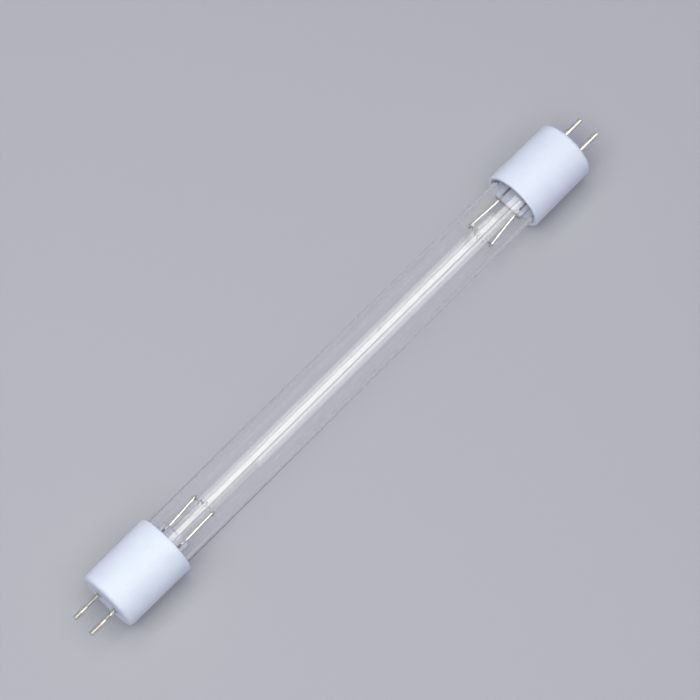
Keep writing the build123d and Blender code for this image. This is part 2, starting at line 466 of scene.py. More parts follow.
def turned(
    points: list[tuple[float, float]],
    centre: Vector,
    side: int,
    steps: int,
    rounds: dict[int, float] | None = None,
    closed: bool = True,
) -> BMesh:
    """Turn a profile round an axis along X.

    Args:
        points: profile as (distance outwards from the lamp's middle, radius), in millimetres.
        centre: point on the axis, in metres.
        side: direction of the end along X.
        steps: faces round the axis.
        rounds: rounding of the profile's corners, by the number of the point.
        closed: whether the last point joins the first.

    Returns:
        The turned mesh.
    """
    bm = bmesh.new()
    places = [Vector((side * x * MM, centre.y, centre.z + r * MM)) for x, r in points]
    verts = [bm.verts.new(p) for p in places]
    pairs = list(zip(verts, verts[1:]))
    if closed:
        pairs.append((verts[-1], verts[0]))
    for pair in pairs:
        bm.edges.new(pair)
    for number, radius in (rounds or {}).items():
        bmesh.ops.bevel(
            bm,
            geom=[verts[number]],
            offset=radius * MM,
            offset_type="OFFSET",
            affect="VERTICES",
            segments=6,
            profile=0.5,
            material=-1,
        )
    bmesh.ops.spin(
        bm,
        geom=bm.verts[:] + bm.edges[:],
        cent=centre,
        axis=(1.0, 0.0, 0.0),
        angle=FULL_TURN,
        steps=steps,
        use_merge=True,
    )
    bmesh.ops.remove_doubles(bm, verts=bm.verts, dist=0.0005 * MM)
    bmesh.ops.recalc_face_normals(bm, faces=bm.faces)
    return bm


def edges_of(ring: list[BMVert]) -> list[BMEdge]:
    """Give the edges of a new ring of vertices, each once and in a fixed order."""
    return list(dict.fromkeys(edge for vert in ring for edge in vert.link_edges))


def pull_ring(bm: BMesh, edges: list[BMEdge]) -> tuple[list[BMVert], list[BMEdge], list[BMFace]]:
    """Extrude a ring of edges in place.

    Args:
        bm: mesh that holds the ring.
        edges: edges of the ring.

    Returns:
        Vertices and edges of the new ring, and the faces between the two.
    """
    grown = bmesh.ops.extrude_edge_only(bm, edges=edges)["geom"]
    verts = [g for g in grown if isinstance(g, BMVert)]
    faces = [g for g in grown if isinstance(g, BMFace)]
    inside = set(verts)
    ahead = [g for g in grown if isinstance(g, BMEdge) and inside.issuperset(g.verts)]
    return verts, ahead, faces


def carried_frames(path: list[Vector]) -> list[Matrix]:
    """Place an upright frame at each point of a path, turned as little as possible from one to the next.

    Args:
        path: points of the centre line, in metres.

    Returns:
        One matrix for each point, with its Z along the path.
    """
    frames = []
    turn = Matrix.Identity(3)
    forward = Vector((0.0, 0.0, 1.0))
    for number, point in enumerate(path):
        before = path[max(number - 1, 0)]
        after = path[min(number + 1, len(path) - 1)]
        ahead = (after - before).normalized()
        turn = forward.rotation_difference(ahead).to_matrix() @ turn
        forward = ahead
        frames.append(Matrix.Translation(point) @ turn.to_4x4())
    return frames


def draw_wire(
    bm: BMesh,
    path: list[Vector],
    radius: Callable[[float], float],
    segments: int,
    material: int = 0,
) -> None:
    """Pull a ring along a path and close both ends.

    Args:
        bm: mesh that gets the wire.
        path: points of the centre line, in metres.
        radius: radius in metres for a share of the path from 0 to 1.
        segments: faces round the wire.
        material: slot of the wire's faces.
    """
    frames = carried_frames(path)
    last = len(path) - 1
    placed = [f @ Matrix.Scale(radius(n / last), 4) for n, f in enumerate(frames)]
    ring = bmesh.ops.create_circle(bm, radius=1.0, segments=segments, matrix=placed[0])["verts"]
    start = edges_of(ring)
    edges, faces = start, []
    for here, there in zip(placed, placed[1:]):
        ring, edges, sides = pull_ring(bm, edges)
        faces += sides
        bmesh.ops.transform(bm, matrix=there @ here.inverted(), verts=ring)
    for loop in (start, edges):
        faces += bmesh.ops.edgeloop_fill(bm, edges=loop)["faces"]
    bmesh.ops.recalc_face_normals(bm, faces=faces)
    for face in faces:
        face.material_index = material


def rounded_path(points: list[Vector], radius: float, steps: int) -> list[Vector]:
    """Round the corners of a wire's route.

    Args:
        points: corners of the route, in metres.
        radius: length taken off each side of a corner, in metres.
        steps: points along each rounding.

    Returns:
        Points of the rounded route.
    """
    route = [points[0]]
    for before, corner, after in zip(points, points[1:], points[2:]):
        enter = corner + (before - corner).normalized() * radius
        leave = corner + (after - corner).normalized() * radius
        for share in (0.0, *shares(steps)):
            route.append(enter.lerp(corner, share).lerp(corner.lerp(leave, share), share))
    route.append(points[-1])
    return route


def add_piece(
    name: str,
    bm: BMesh,
    finishes: list[Material],
    nodes: list[str],
    sharp: float = 35.0,
) -> None:
    """Make a finished mesh a piece of the lamp.

    Args:
        name: name of the piece.
        bm: its mesh, which is freed.
        finishes: materials for its slots.
        nodes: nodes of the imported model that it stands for.
        sharp: edges that turn by more than this many degrees stay crisp.
    """
    mesh = bpy.data.meshes.new(name)
    bm.to_mesh(mesh)
    bm.free()
    mesh.shade_smooth()
    mesh.set_sharp_from_angle(angle=math.radians(sharp))
    for material in finishes:
        mesh.materials.append(material)
    piece = bpy.data.objects.new(name, mesh)
    bpy.context.scene.collection.objects.link(piece)
    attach(piece, "root")
    if nodes:
        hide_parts(*nodes)
    LOG.info("%s: %d faces", name, len(mesh.polygons))


def node_size(node: str) -> tuple[Vector, Vector]:
    """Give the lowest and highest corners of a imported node, in millimetres."""
    low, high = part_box(node)
    return low / MM, high / MM


def node_reach(node: str) -> tuple[float, float]:
    """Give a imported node's nearest and farthest distances from the lamp's middle, in millimetres."""
    low, high = node_size(node)
    return min(abs(low.x), abs(high.x)), max(abs(low.x), abs(high.x))


# Sub-assemblies


@dataclass
class LampAxis:
    """Where the lamp's axis lies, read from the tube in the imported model."""

    height: float
    tube_radius: float
    tube_end: float

    @classmethod
    def read(cls) -> "LampAxis":
        """Measure the tube's node."""
        low, high = node_size("glass_tube")
        return cls((low.z + high.z) / 2, (high.z - low.z) / 2, high.x)

    def at(self, x: float = 0.0, y: float = 0.0, z: float = 0.0) -> Vector:
        """Turn a place relative to the axis from millimetres to metres in the row frame."""
        return Vector((x, y, self.height + z)) * MM


@dataclass
class GlassEnvelope:
    """The clear tube, open at its melted ends until the flares close them."""

    axis: LampAxis
    wall: float = 1.0
    lip: float = 0.35
    steps: int = 384

    def build(self) -> BMesh:
        """Turn the tube's wall, with its lips rounded.

        Returns:
            Mesh of the piece.
        """
        outer = self.axis.tube_radius
        inner = outer - self.wall
        end = self.axis.tube_end
        profile = [(-end, inner), (end, inner), (end, outer), (-end, outer)]
        rounds = {number: self.lip for number in range(4)}
        return turned(profile, self.axis.at(), 1, self.steps, rounds)

    def dress(self, glass: Material) -> None:
        """Put the tube in the scene."""
        add_piece("tube_envelope", self.build(), [glass], ["glass_tube"])


@dataclass
class CeramicCap:
    """A drafted ceramic cup with two recessed pin holes in its end wall."""

    axis: LampAxis
    end: End
    bore: float = 6.4
    land: float = 1.5
    draft: float = 0.15
    end_wall: float = 2.0
    end_edge: float = 1.0
    flat_margin: float = 1.6
    mouth_edge: float = 0.35
    mouth_inner_edge: float = 0.15
    bore_edge: float = 0.5
    pin_pitch: float = 4.75
    pin_hole: float = 0.595
    recess: float = 0.95
    recess_depth: float = 0.3
    recess_edge: float = 0.12
    recess_bow: float = 0.3
    steps: int = 160
    hole_steps: int = 40

    def hole(self, bm: BMesh, across: float, face: float, floor: float) -> list[BMEdge]:
        """Line one pin hole, from its rim in the outer face to its rim in the floor.

        Args:
            bm: the cap's mesh.
            across: place of the hole along Y.
            face: distance of the outer face from the lamp's middle.
            floor: distance of the bore's floor.

        Returns:
            Edges of the two rims.
        """
        side = self.end.value
        bow = self.recess_edge * self.recess_bow
        stages = [
            (face, self.recess + self.recess_edge),
            (face - bow, self.recess + bow),
            (face - self.recess_edge, self.recess),
            (face - self.recess_depth, self.recess),
            (face - self.recess_depth, self.pin_hole),
            (floor, self.pin_hole),
        ]
        turn = Matrix.Rotation(math.pi / 2, 4, "Y")
        x, radius = stages[0]
        place = Matrix.Translation(self.axis.at(side * x, across)) @ turn @ Matrix.Scale(radius * MM, 4)
        ring = bmesh.ops.create_circle(bm, radius=1.0, segments=self.hole_steps, matrix=place)["verts"]
        rim = edges_of(ring)
        edges = rim
        for (x, radius), (next_x, next_radius) in zip(stages, stages[1:]):
            ring, edges, _ = pull_ring(bm, edges)
            share = next_radius / radius
            centre = Matrix.Translation(self.axis.at(side * x, across))
            grow = centre @ Matrix.Diagonal((1.0, share, share, 1.0)) @ centre.inverted()
            shift = Matrix.Translation(Vector((side * (next_x - x) * MM, 0.0, 0.0)))
            bmesh.ops.transform(bm, matrix=shift @ grow, verts=ring)
        return rim + edges

    def build(self) -> BMesh:
        """Turn the cup, line its pin holes and close its two flat faces round them.

        Returns:
            Mesh of the piece.
        """
        low, high = node_size(f"cap_{self.end.letter}")
        mouth, face = node_reach(f"cap_{self.end.letter}")
        radius = (high.z - low.z) / 2
        floor = face - self.end_wall
        profile = [
            (floor, self.bore - self.bore_edge * 2),
            (floor, self.bore),
            (mouth, self.bore),
            (mouth, radius),
            (mouth + self.land, radius),
            (face, radius - self.draft),
            (face, radius - self.draft - self.end_edge * self.flat_margin),
        ]
        rounds = {1: self.bore_edge, 2: self.mouth_inner_edge, 3: self.mouth_edge, 5: self.end_edge}
        bm = turned(profile, self.axis.at(), self.end.value, self.steps, rounds, closed=False)
        edges = [e for e in bm.edges if e.is_boundary]
        for hand in Hand:
            edges += self.hole(bm, hand.value * self.pin_pitch / 2, face, floor)
        middle = (face + floor) / 2 * MM
        outer = [e for e in edges if abs(e.verts[0].co.x) > middle]
        inner = [e for e in edges if abs(e.verts[0].co.x) <= middle]
        for flat in (outer, inner):
            bmesh.ops.triangle_fill(bm, use_beauty=True, use_dissolve=False, edges=flat)
        bmesh.ops.recalc_face_normals(bm, faces=bm.faces)
        return bm

    def dress(self, ceramic: Material) -> None:
        """Put the cap in the scene."""
        letter = self.end.letter
        add_piece(f"ceramic_cap_{letter}", self.build(), [ceramic], [f"cap_{letter}"])


@dataclass
class CementRing:
    """The cement that fills the gap between tube and cap, uneven where it was wiped off."""

    axis: LampAxis
    end: End
    gap: float = 0.02
    wander: float = 0.35
    wander_share: float = 0.6
    lump_size: float = 1.6
    crumb_size: float = 0.5
    front_band: float = 1.0
    rounding: float = 0.12
    steps: int = 120

    def build(self) -> BMesh:
        """Turn the ring and let its visible edge wander.

        Returns:
            Mesh of the piece.
        """
        low, high = node_size(f"cement_{self.end.letter}")
        start, stop = node_reach(f"cement_{self.end.letter}")
        outer = (high.z - low.z) / 2
        inner = self.axis.tube_radius + self.gap
        front = start + self.wander
        bm = turned(
            [(front, inner), (stop, inner), (stop, outer), (front, outer)],
            self.axis.at(),
            self.end.value,
            self.steps,
            {0: self.rounding, 3: self.rounding},
        )
        for vert in bm.verts:
            if abs(vert.co.x) < (front + self.front_band) * MM:
                lump = noise.noise(vert.co / (self.lump_size * MM))
                lump += noise.noise(vert.co / (self.crumb_size * MM)) / 2
                vert.co.x += self.end.value * lump * self.wander * self.wander_share * MM
        return bm

    def dress(self, cement: Material) -> None:
        """Put the ring in the scene."""
        letter = self.end.letter
        add_piece(f"cement_ring_{letter}", self.build(), [cement], [f"cement_{letter}"])


@dataclass
class ContactPin:
    """A hollow pin, headed inside the cap and squeezed where it grips its lead."""

    axis: LampAxis
    end: End
    hand: Hand
    crimp_start: float
    crimp_length: float
    pitch: float = 4.75
    end_wall: float = 2.0
    bore: float = 0.375
    bore_depth: float = 2.6
    bore_edge: float = 0.05
    bore_stop: float = 0.1
    head: float = 0.9
    head_thickness: float = 0.4
    head_edge: float = 0.1
    pin_radius: float = 0.575
    tip_edge: float = 0.12
    squeeze: float = 0.296
    bulge: float = 0.17
    ramp: float = 0.35
    ring_margin: float = 0.2
    rings: int = 24
    steps: int = 48

    @property
    def name(self) -> str:
        """Name of the pin's node."""
        return f"pin_{self.end.letter}{self.hand.number}"

    def build(self) -> BMesh:
        """Turn the pin, then squeeze the crimp between two jaws.

        Returns:
            Mesh of the piece.
        """
        back, tip = node_reach(self.name)
        front = back + self.head_thickness
        near = front + self.end_wall + self.crimp_start
        far = near + self.crimp_length
        first = near - self.ring_margin
        span = self.crimp_length + 2 * self.ring_margin
        rings = [first + span * share for share in (0.0, *shares(self.rings))]
        blind = max(far + self.bore_stop, tip - self.bore_depth)
        profile = [
            (back, 0.0),
            (back, self.head),
            (front, self.head),
            (front, self.pin_radius),
            *((x, self.pin_radius) for x in rings),
            (tip, self.pin_radius),
            (tip, self.bore),
            (blind, self.bore),
            (blind, 0.0),
        ]
        rim = profile.index((tip, self.pin_radius))
        rounds = {1: self.head_edge, 2: self.head_edge, rim: self.tip_edge, rim + 1: self.bore_edge}
        centre = self.axis.at(0.0, self.hand.value * self.pitch / 2)
        bm = turned(profile, centre, self.end.value, self.steps, rounds, closed=False)
        for vert in bm.verts:
            x = abs(vert.co.x) / MM
            inwards = min(x - near, far - x) / self.ramp
            if inwards > 0:
                grip = ease(min(inwards, 1.0))
                vert.co.y = centre.y + (vert.co.y - centre.y) * (1 - self.squeeze * grip)
                vert.co.z = centre.z + (vert.co.z - centre.z) * (1 + self.bulge * grip)
        return bm

    def dress(self, plate: Material) -> None:
        """Put the pin in the scene."""
        add_piece(f"contact_{self.name}", self.build(), [plate], [self.name])


@dataclass
class SupportLead:
    """The stiff bright wire from the press to the coil, folded over the coil's tail."""

    axis: LampAxis
    end: End
    hand: Hand
    radius: float = 0.3
    pitch: float = 4.75
    knee: float = 1.7
    knee_bend: float = 0.5
    knee_steps: int = 6
    fold: float = 0.5
    fold_return: float = 0.7
    fold_steps: int = 12
    segments: int = 24

    @property
    def name(self) -> str:
        """Name of the lead's node."""
        return f"inner_lead_{self.end.letter}{self.hand.number}"

    def route(self) -> list[Vector]:
        """Lead the wire from the press to the end of its fold.

        Returns:
            Points of its centre line, in metres.
        """
        low, high = node_size(self.name)
        inner, foot = node_reach(self.name)
        side = self.end.value
        hand = self.hand.value
        standing = self.pitch / 2
        reach = max(hand * low.y, hand * high.y) - self.radius
        narrow = min(hand * low.y, hand * high.y) + self.radius
        splayed = reach - standing > standing - narrow
        start = self.axis.at(side * foot, hand * standing)
        corner = self.axis.at(side * (foot - self.knee), hand * standing)
        across = hand * (reach if splayed else narrow)
        stop = self.axis.at(side * (inner + self.fold + self.radius), across)
        wire = rounded_path([start, corner, stop], self.knee_bend * MM, self.knee_steps)
        ahead = (stop - corner).normalized()
        upwards = Vector((0.0, 0.0, 1.0))
        centre = stop - upwards * self.fold * MM
        for share in shares(self.fold_steps):
            angle = math.pi * share
            swing = ahead * math.sin(angle) + upwards * math.cos(angle)
            wire.append(centre + swing * self.fold * MM)
        wire.append(wire[-1] - ahead * self.fold_return * MM)
        return wire

    def build(self) -> BMesh:
        """Draw the wire along its route.

        Returns:
            Mesh of the piece.
        """
        bm = bmesh.new()
        draw_wire(bm, self.route(), lambda share: self.radius * MM, self.segments)
        return bm

    def dress(self, nickel: Material) -> None:
        """Put the wire in the scene."""
        add_piece(f"support_{self.name}", self.build(), [nickel], [self.name])


@dataclass
class CoatedCoil:
    """The cathode: a tungsten coil under a crumbly coat, with bare tails in the folds."""

    axis: LampAxis
    end: End
    radius: float = 0.48
    wire: float = 0.16
    turns: int = 4
    steps_per_turn: int = 40
    bare_steps: int = 3
    arch: float = 0.8
    lumps: float = 0.3
    lump_size: float = 0.28
    fade: float = 0.05
    segments: int = 10
    tail: float = 0.1
    tail_bend: float = 0.15
    tail_bend_at: float = 0.7
    tail_bend_steps: int = 4
    tail_segments: int = 8
    overhang: float = 0.35
    lead_radius: float = 0.3
    lead_gap: float = 0.5
    fold: float = 0.5

    @property
    def name(self) -> str:
        """Name of the coil's node."""
        return f"filament_{self.end.letter}"

    def point(self, station: float, middle: float, length: float, turn: float) -> Vector:
        """Point on the coil's centre line.

        Args:
            station: distance of the coil's ends from the lamp's middle.
            middle: place of the coil's middle along Y.
            length: length of the turns along Y.
            turn: turns counted from the coil's start.

        Returns:
            The point in metres.
        """
        along = (turn / self.turns - 0.5) * length
        rise = self.arch * math.cos(math.pi * along / length) ** 2
        slope = -self.arch * math.pi / length * math.sin(FULL_TURN * along / length)
        angle = FULL_TURN * turn
        inwards = self.radius * math.cos(angle) / math.hypot(1.0, slope)
        return self.axis.at(
            self.end.value * (station - rise - inwards),
            middle + along - inwards * slope,
            self.radius * math.sin(angle) - self.fold,
        )

    def build(self) -> BMesh:
        """Draw the coated turns, then the two bare tails.

        Returns:
            Mesh of the piece.
        """
        low, high = node_size(self.name)
        leads = [f"inner_lead_{self.end.letter}{hand.number}" for hand in Hand]
        station = min(node_reach(lead)[0] for lead in leads) + self.fold + self.lead_radius
        middle = (low.y + high.y) / 2
        length = high.y - low.y - 2 * (self.overhang + 2 * self.lead_radius + self.lead_gap)
        last = self.turns * self.steps_per_turn - self.bare_steps
        turns = [step / self.steps_per_turn for step in range(self.bare_steps, last + 1)]
        coil = [self.point(station, middle, length, turn) for turn in turns]
        centre = self.axis.at(self.end.value * station, middle, -self.fold)

        def coat(share: float) -> float:
            """Let the coat's thickness vary.

            Args:
                share: share of the wire's length.

            Returns:
                Radius there, in metres.
            """
            here = coil[min(int(share * len(coil)), len(coil) - 1)]
            lump = noise.noise(here / (self.lump_size * MM)) * self.lumps
            thick = min(1.0, min(share, 1 - share) / self.fade)
            return (self.tail + (self.wire * (1 + lump) - self.tail) * thick) * MM

        bm = bmesh.new()
        draw_wire(bm, coil, coat, self.segments)
        for tip, anchor in ((low.y * MM, coil[0]), (high.y * MM, coil[-1])):
            outer = Vector((centre.x, tip, centre.z))
            bend = Vector((centre.x, tip + (anchor.y - tip) * self.tail_bend_at, centre.z))
            route = rounded_path([outer, bend, anchor], self.tail_bend * MM, self.tail_bend_steps)
            draw_wire(bm, route, lambda share: self.tail * MM, self.tail_segments, material=1)
        return bm

    def dress(self, coat: Material, tungsten: Material) -> None:
        """Put the coil in the scene."""
        name = f"cathode_{self.end.letter}"
        add_piece(name, self.build(), [coat, tungsten], [self.name], sharp=60.0)


class Section(NamedTuple):
    """A cross-section of a stem, with its distance from the lamp's middle, how flat it is, from 0 for
    a circle to 1 for a slab, half its width and half the slab's thickness."""

    x: float
    flatness: float
    radius: float
    half: float


@dataclass
class StemMount:
    """The glass mount inside an end: flare, stem tube and flat press round the leads."""

    axis: LampAxis
    end: End
    radius: float = 3.7
    wall: float = 0.8
    flare: float = 4.0
    flare_steps: int = 8
    rim_thickness: float = 1.0
    rim_radius: float = 5.7
    throat: float = 4.7
    press_length: float = 5.0
    press_thickness: float = 2.6
    press_steps: int = 10
    press_edge: float = 0.45
    press_edge_turns: tuple[float, ...] = (0.0, 0.4, 0.8, 1.2, math.pi / 2)
    shoulder: float = 2.0
    shoulder_steps: int = 8
    slot_thickness: float = 1.1
    slot_stop: float = 0.3
    slot_steps: int = 6
    dents: float = 0.09
    dent_size: float = 1.9
    segments: int = 96
    exhaust: float = 1.1
    exhaust_wall: float = 0.4
    exhaust_gap: float = 0.4
    exhaust_tip_turns: tuple[float, ...] = (0.0, 0.5, 1.0, 1.4)
    exhaust_steps: int = 40

    @property
    def name(self) -> str:
        """Name of the stem's node."""
        return f"stem_{self.end.letter}"

    def outline(self, section: Section) -> list[tuple[float, float]]:
        """Draw a section between a circle and a flat slab with rounded edges.

        Args:
            section: the section to draw.

        Returns:
            Points across the lamp as (Y, Z) from its axis, in millimetres.
        """
        power = 2 / (2 + 5 * section.flatness)
        half = section.radius + (section.half - section.radius) * section.flatness
        points = []
        for step in range(self.segments):
            angle = FULL_TURN * step / self.segments
            wide = math.copysign(abs(math.cos(angle)) ** power, math.cos(angle))
            tall = math.copysign(abs(math.sin(angle)) ** power, math.sin(angle))
            points.append((wide * section.radius, tall * half))
        return points

    def loft(self, bm: BMesh, sections: list[Section]) -> tuple[list[BMEdge], list[BMEdge]]:
        """Pull a ring through a list of sections.

        Args:
            bm: the stem's mesh.
            sections: the sections, in order.

        Returns:
            Edges of the first and the last ring.
        """
        ring = bmesh.ops.create_circle(bm, radius=MM, segments=self.segments)["verts"]
        first = edges_of(ring)
        edges = first
        for number, section in enumerate(sections):
            if number:
                grown, edges, _ = pull_ring(bm, edges)
                inside = set(grown)
                ring = [next(o for e in v.link_edges if (o := e.other_vert(v)) in inside) for v in ring]
            for vert, (y, z) in zip(ring, self.outline(section)):
                vert.co = self.axis.at(self.end.value * section.x, y, z)
        return first, edges

    def outside(self, top: float) -> list[Section]:
        """List the outer sections, from the top of the press to the back of the flare's rim.

        Args:
            top: distance of the press's top from the lamp's middle.

        Returns:
            The sections.
        """
        half = self.press_thickness / 2
        slab = top + self.press_edge
        base = top + self.press_length
        rim = self.axis.tube_end
        sections = []
        for turn in self.press_edge_turns:
            cut = self.press_edge * (1 - math.sin(turn))
            x = slab - self.press_edge * math.cos(turn)
            sections.append(Section(x, 1.0, self.radius - cut, half - cut))
        for share in shares(self.press_steps):
            sections.append(Section(slab + (base - slab) * share, 1.0, self.radius, half))
        for share in shares(self.shoulder_steps):
            sections.append(Section(base + self.shoulder * share, 1 - ease(share), self.radius, half))
        for share in (0.0, *shares(self.flare_steps)):
            wide = self.radius + (self.throat - self.radius) * share**2
            sections.append(Section(rim - self.flare * (1 - share), 0.0, wide, half))
        sections.append(Section(rim, 0.0, self.rim_radius, half))
        sections.append(Section(rim + self.rim_thickness, 0.0, self.rim_radius, half))
        return sections

    def inside(self, base: float) -> list[Section]:
        """List the bore's sections, from the back of the flare's rim to its flattened end.

        Args:
            base: distance of the press's base from the lamp's middle.

        Returns:
            The sections.
        """
        back = self.axis.tube_end + self.rim_thickness
        reach = self.flare + self.rim_thickness
        mouth = self.rim_radius - self.rim_thickness
        bore = self.radius - self.wall
        half = self.slot_thickness / 2
        shoulder = base + self.shoulder
        sections = []
        for share in (0.0, *shares(self.flare_steps)):
            wide = bore + (mouth - bore) * (1 - share) ** 2
            sections.append(Section(back - reach * share, 0.0, wide, half))
        for share in (0.0, *shares(self.slot_steps)):
            x = shoulder - (self.shoulder - self.slot_stop) * share
            sections.append(Section(x, ease(share), bore, half))
        return sections

    def build(self) -> BMesh:
        """Loft the outside and the bore, and join them at the flare's rim.

        Returns:
            Mesh of the piece.
        """
        top, tip = node_reach(self.name)
        base = top + self.press_length
        bm = bmesh.new()
        outer_start, outer_end = self.loft(bm, self.outside(top))
        inner_start, inner_end = self.loft(bm, self.inside(base))
        bmesh.ops.bridge_loops(bm, edges=outer_end + inner_start)
        bmesh.ops.edgeloop_fill(bm, edges=outer_start)
        bmesh.ops.edgeloop_fill(bm, edges=inner_end)
        for vert in bm.verts:
            if abs(vert.co.x) / MM < base:
                vert.co.z += noise.noise(vert.co / (self.dent_size * MM)) * self.dents * MM
        bmesh.ops.recalc_face_normals(bm, faces=bm.faces)
        self.add_exhaust_tube(bm, base + self.exhaust_gap, tip)
        return bm

    def add_exhaust_tube(self, bm: BMesh, start: float, tip: float) -> None:
        """Add the sealed exhaust tube behind the press.

        Args:
            bm: the stem's mesh.
            start: distance of its open end from the lamp's middle.
            tip: distance of its sealed tip.
        """
        bore = self.exhaust - self.exhaust_wall
        dome = tip - self.exhaust
        seal = [
            (dome + self.exhaust * math.sin(turn), self.exhaust * math.cos(turn))
            for turn in self.exhaust_tip_turns
        ]
        profile = [(start, bore), (start, self.exhaust), *seal, (tip, 0.0), (dome, 0.0), (dome, bore)]
        tube = turned(profile, self.axis.at(), self.end.value, self.exhaust_steps)
        spare = bpy.data.meshes.new("exhaust")
        tube.to_mesh(spare)
        tube.free()
        bm.from_mesh(spare)
        bpy.data.meshes.remove(spare)

    def dress(self, glass: Material) -> None:
        """Put the stem in the scene."""
        add_piece(f"glass_{self.name}", self.build(), [glass], [self.name])


@dataclass
class MercuryBeads:
    """Round beads of mercury that cling to the bore near end b."""

    node: str = "mercury_droplets"
    around: int = 24
    along: int = 16

    def build(self) -> BMesh:
        """Set a smooth bead on each of the node's droplets, found by joining its loose triangles.

        Returns:
            Mesh of the piece.
        """
        source = bmesh.new()
        source.from_mesh(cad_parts[self.node].data)
        bmesh.ops.remove_doubles(source, verts=source.verts, dist=0.001 * MM)
        bm = bmesh.new()
        left = set(source.verts)
        for start in source.verts:
            if start not in left:
                continue
            left.discard(start)
            group, todo = [], [start]
            while todo:
                vert = todo.pop()
                group.append(vert.co.copy())
                near = [e.other_vert(vert) for e in vert.link_edges]
                todo += [v for v in near if v in left]
                left.difference_update(near)
            low = Vector([min(c[i] for c in group) for i in range(3)])
            high = Vector([max(c[i] for c in group) for i in range(3)])
            bmesh.ops.create_uvsphere(
                bm,
                u_segments=self.around,
                v_segments=self.along,
                radius=(high.x - low.x) / 2,
                matrix=Matrix.Translation((low + high) / 2),
            )
        source.free()
        return bm

    def dress(self, metal: Material) -> None:
        """Put the beads in the scene."""
        add_piece("mercury_beads", self.build(), [metal], [self.node], sharp=90.0)


@dataclass
class DustFlecks:
    """Flecks of lint and dust on the outside of the tube, which the photo's light picks out.

    The known ones stand out in the photo, each with its place along the lamp and its angle from the
    top of the tube in degrees.
    """

    axis: LampAxis
    seed: int = 12
    count: int = 60
    reach: float = 50.0
    side_reach: float = 100.0
    smallest: float = 0.05
    largest: float = 0.15
    width: tuple[float, float] = (0.7, 1.3)
    height: tuple[float, float] = (0.4, 0.7)
    sink: float = 0.3
    crumple: float = 0.25
    crumple_size: float = 0.1
    known: tuple[tuple[float, float], ...] = (
        (32.6, 18.0),
        (24.5, -51.0),
        (0.7, 32.0),
        (-4.1, 30.0),
        (2.5, 26.0),
        (-5.5, -51.0),
        (10.7, -32.0),
        (-26.4, 12.0),
        (-24.4, -47.0),
        (32.7, -25.0),
    )

    def build(self) -> BMesh:
        """Scatter the flecks, the ones that stand out in the photo first.

        Returns:
            Mesh of the piece.
        """
        draw = random.Random(self.seed)
        # Without a seed, Blender's vector noise follows the clock and differs in each run
        noise.seed_set(self.seed)
        spots = [(x, degrees, self.largest) for x, degrees in self.known]
        for _ in range(self.count):
            size = self.smallest + (self.largest - self.smallest) * draw.random() ** 3
            x = draw.uniform(-self.reach, self.reach)
            spots.append((x, draw.uniform(-self.side_reach, self.side_reach), size))
        bm = bmesh.new()
        for x, degrees, size in spots:
            angle = math.radians(degrees)
            outwards = Vector((0.0, math.sin(angle), math.cos(angle)))
            centre = self.axis.at(x) + outwards * self.axis.tube_radius * MM
            shape = Vector([draw.uniform(*limits) for limits in (self.width, self.width, self.height)])
            lay = Matrix.Rotation(-angle, 4, "X") @ Matrix.Rotation(draw.uniform(0.0, FULL_TURN), 4, "Z")
            place = Matrix.Translation(centre) @ lay @ Matrix.Diagonal((*shape, 1.0))
            ball = bmesh.ops.create_icosphere(bm, subdivisions=1, radius=size * MM, matrix=place)["verts"]
            for vert in ball:
                vert.co += outwards * size * MM * self.sink * shape.z
                vert.co += noise.noise_vector(vert.co / (self.crumple_size * MM)) * size * MM * self.crumple
        return bm

    def dress(self, lint: Material) -> None:
        """Put the flecks in the scene."""
        add_piece("dust_flecks", self.build(), [lint], [], sharp=180.0)


# Studio


class BoxUse(Enum):
    """What a soft box is for: to light the surfaces, or to be mirrored in glass and metal."""

    LIGHT = "light"
    MIRROR = "mirror"


@dataclass(frozen=True)
class SoftBox:
    """A plain soft box that faces the lamp's middle, placed by its angle from straight above.

    Its tilt is towards plus Y, and its length lies along the lamp.
    """

    name: str
    use: BoxUse
    tilt: float
    width: float
    length: float
    radiance: float
    shift: float
    distance: float = 700.0
    colour: str = "#FFFEF5"

    def hang(self, axis: LampAxis) -> None:
        """Add the soft box to the scene.

        Args:
            axis: the lamp's axis, which it faces.
        """
        lamp = bpy.data.lights.new(self.name, "AREA")
        lamp.shape = "RECTANGLE"
        lamp.size = self.length * MM
        lamp.size_y = self.width * MM
        lamp.energy = math.pi * lamp.size * lamp.size_y * self.radiance
        lamp.color = linear(self.colour)[:3]
        box = bpy.data.objects.new(self.name, lamp)
        bpy.context.scene.collection.objects.link(box)
        box.visible_diffuse = self.use is BoxUse.LIGHT
        box.visible_glossy = self.use is BoxUse.MIRROR
        box.visible_transmission = self.use is BoxUse.MIRROR
        tilt = math.radians(self.tilt)
        aim = Vector((0.0, math.sin(tilt), math.cos(tilt)))
        across = Vector((1.0, 0.0, 0.0))
        turn = Matrix((across, aim.cross(across), aim)).transposed()
        place = axis.at(self.shift) + aim * self.distance * MM
        box.matrix_world = Matrix.Translation(place) @ turn.to_4x4()


